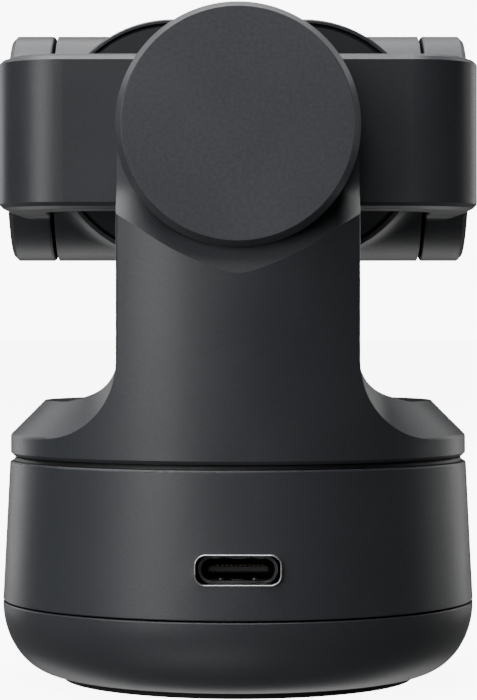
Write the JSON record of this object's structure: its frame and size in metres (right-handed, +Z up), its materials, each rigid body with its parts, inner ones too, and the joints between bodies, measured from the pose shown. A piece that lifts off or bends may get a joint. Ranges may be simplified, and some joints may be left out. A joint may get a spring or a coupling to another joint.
{
  "type": "ptz camera",
  "caption": "Desktop pan, roll and tilt camera: round base with a cable inlet, turning column, U-shaped yoke and a tilting pill-shaped camera head with one lens.",
  "frame": {"origin": "on the pan axis, at the underside of the rubber foot", "axes": "+Z up along the pan axis; -Y is where the lens looks, +Y is the rear face with the cable inlet; +X runs along the tilt axis at rest, towards the boss with the tilt motor"},
  "size_m": [0.057, 0.057, 0.0795],
  "materials": {
    "charcoal_housing": "satin moulded plastic, fine grain",
    "dark_cover": "dark satin moulded plastic",
    "foot_rubber": "matt black rubber",
    "window_glass": "gloss tinted window",
    "lens_glass": "coated optical glass",
    "black_plastic": "matt black moulded plastic",
    "receptacle_steel": "dark plated stamped steel",
    "bright_metal": "bright plated ring",
    "gold_contact": "gold-plated contact",
    "brass_insert": "machined brass",
    "ballast_steel": "zinc-plated steel",
    "screw_steel": "black-zinc steel",
    "machined_aluminium": "machined aluminium",
    "chip_black": "matt epoxy package",
    "sensor_face": "sensor cover glass",
    "board_green": "solder mask",
    "flex_amber": "polyimide film",
    "bearing_steel": "ground bearing steel",
    "stator_steel": "laminated silicon steel",
    "copper_winding": "enamelled copper wire",
    "bell_steel": "turned steel",
    "magnet_nickel": "nickel-plated magnet",
    "shaft_steel": "ground steel"
  },
  "bodies": {
    "base": {"foot_pad": "foot_rubber", "base_bottom_cover": "charcoal_housing", "tripod_insert": "brass_insert", "ballast_ring": "ballast_steel", "base_screws": "screw_steel", "heat_spreader": "machined_aluminium", "processor_chip": "chip_black", "main_board": "board_green", "board_components": "chip_black", "usb_c_shell": "receptacle_steel", "usb_c_tongue": "black_plastic", "usb_c_contacts": "gold_contact", "usb_port_trim": "bright_metal", "base_shell": "charcoal_housing", "pan_bearings": "bearing_steel", "pan_stator": "stator_steel", "pan_coils": "copper_winding"},
    "pan_column": {"pan_rotor_bell": "bell_steel", "pan_magnets": "magnet_nickel", "pan_shaft": "shaft_steel", "pan_hub": "machined_aluminium", "turntable_floor": "charcoal_housing", "turntable_shell": "charcoal_housing", "column_front_cover": "charcoal_housing", "column_screws": "screw_steel", "driver_board": "board_green", "column_flex_cable": "flex_amber", "roll_motor_mount": "machined_aluminium", "roll_bearings": "bearing_steel", "roll_stator": "stator_steel", "roll_coils": "copper_winding", "back_cap": "charcoal_housing"},
    "yoke": {"roll_rotor_bell": "bell_steel", "roll_magnets": "magnet_nickel", "roll_shaft": "shaft_steel", "roll_hub": "machined_aluminium", "yoke_frame": "charcoal_housing", "yoke_inner_cover": "charcoal_housing", "yoke_screws": "screw_steel", "yoke_flex_cable": "flex_amber", "tilt_bearings": "bearing_steel", "tilt_stator": "stator_steel", "tilt_coils": "copper_winding", "right_boss_cap": "charcoal_housing", "left_boss_cap": "charcoal_housing"},
    "head": {"tilt_rotor_bell": "bell_steel", "tilt_magnets": "magnet_nickel", "right_tilt_shaft": "shaft_steel", "left_tilt_shaft": "shaft_steel", "head_shell": "charcoal_housing", "head_rear_cover": "dark_cover", "head_front_frame": "dark_cover", "front_glass": "window_glass", "lens_barrel": "black_plastic", "lens_elements": "lens_glass", "image_sensor": "sensor_face", "sensor_board": "board_green", "head_heat_sink": "machined_aluminium", "head_board": "board_green", "head_screws": "screw_steel"}
  },
  "joints": [
    {"name": "pan", "type": "hinge", "parent": "base", "child": "pan_column", "pos_m": [0, 0, 0.027], "axis": [0, 0, 1], "range_deg": [-150, 150]},
    {"name": "roll", "type": "hinge", "parent": "pan_column", "child": "yoke", "pos_m": [0, 0.0178, 0.0651], "axis": [0, 1, 0], "range_deg": [-40, 40]},
    {"name": "tilt", "type": "hinge", "parent": "yoke", "child": "head", "pos_m": [0, -0.0137, 0.0651], "axis": [1, 0, 0], "range_deg": [-60, 90]}
  ]
}
